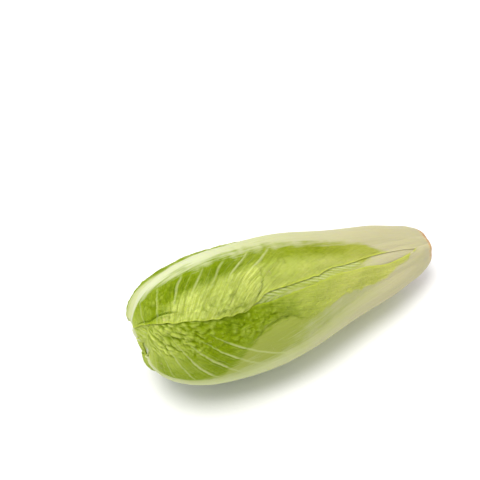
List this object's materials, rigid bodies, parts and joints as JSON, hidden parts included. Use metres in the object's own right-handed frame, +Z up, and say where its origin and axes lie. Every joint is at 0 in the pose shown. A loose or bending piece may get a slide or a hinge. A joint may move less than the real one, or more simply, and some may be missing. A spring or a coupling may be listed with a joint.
{
  "type": "romaine heart",
  "caption": "Trimmed head of romaine lettuce lying on its side, with broad pale midribs and crinkled green leaves wrapped tightly round a short cut stem.",
  "frame": {"origin": "centre of the bounding box in plan, at the level of the surface that the heart rests on", "axes": "+X towards the cut stem and -X towards the crown, along the length of the heart; +Z up; +Y towards the back, away from the side with the overlapping margins of the two outermost leaves"},
  "size_m": [0.2196, 0.0834, 0.0866],
  "materials": {
    "outer_leaf": "satin",
    "middle_leaf": "satin",
    "heart_leaf": "satin",
    "stem": "matte"
  },
  "bodies": {
    "root": {"stem": "stem", "heart_bud": "heart_leaf", "outer_leaf_1": "outer_leaf", "outer_leaf_2": "outer_leaf", "outer_leaf_3": "outer_leaf", "outer_leaf_4": "outer_leaf", "outer_leaf_5": "outer_leaf", "middle_leaf_1": "middle_leaf", "middle_leaf_2": "middle_leaf", "middle_leaf_3": "middle_leaf", "middle_leaf_4": "middle_leaf", "middle_leaf_5": "middle_leaf", "middle_leaf_6": "middle_leaf", "heart_leaf_1": "heart_leaf", "heart_leaf_2": "heart_leaf", "heart_leaf_3": "heart_leaf", "heart_leaf_4": "heart_leaf", "heart_leaf_5": "heart_leaf", "heart_leaf_6": "heart_leaf"}
  },
  "joints": []
}
